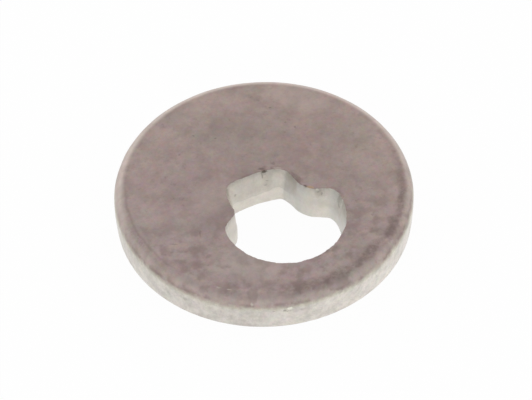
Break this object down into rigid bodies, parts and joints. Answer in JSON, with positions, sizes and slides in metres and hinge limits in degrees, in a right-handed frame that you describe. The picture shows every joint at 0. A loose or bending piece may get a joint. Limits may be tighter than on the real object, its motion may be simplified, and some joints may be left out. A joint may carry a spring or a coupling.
{
  "type": "metal washer",
  "caption": "Thick round steel washer with an off-centre keyed hole, a round bore with a slot to one side, and a rolled upper edge.",
  "frame": {"origin": "centre of the disc's round outline, on the flat underside that the washer rests on", "axes": "+Z through the thickness, out of the face with the rolled edge; +Y from the bore's centre to the disc's centre, so the bore lies off centre towards -Y and its slot points along +Y; +X to the right of that"},
  "size_m": [0.02, 0.02, 0.0028],
  "materials": {
    "steel": "brown-grey mottled sheet skin on the faces, pale sheared metal on the rim and in the hole"
  },
  "bodies": {
    "root": {"washer": "steel"}
  },
  "joints": []
}
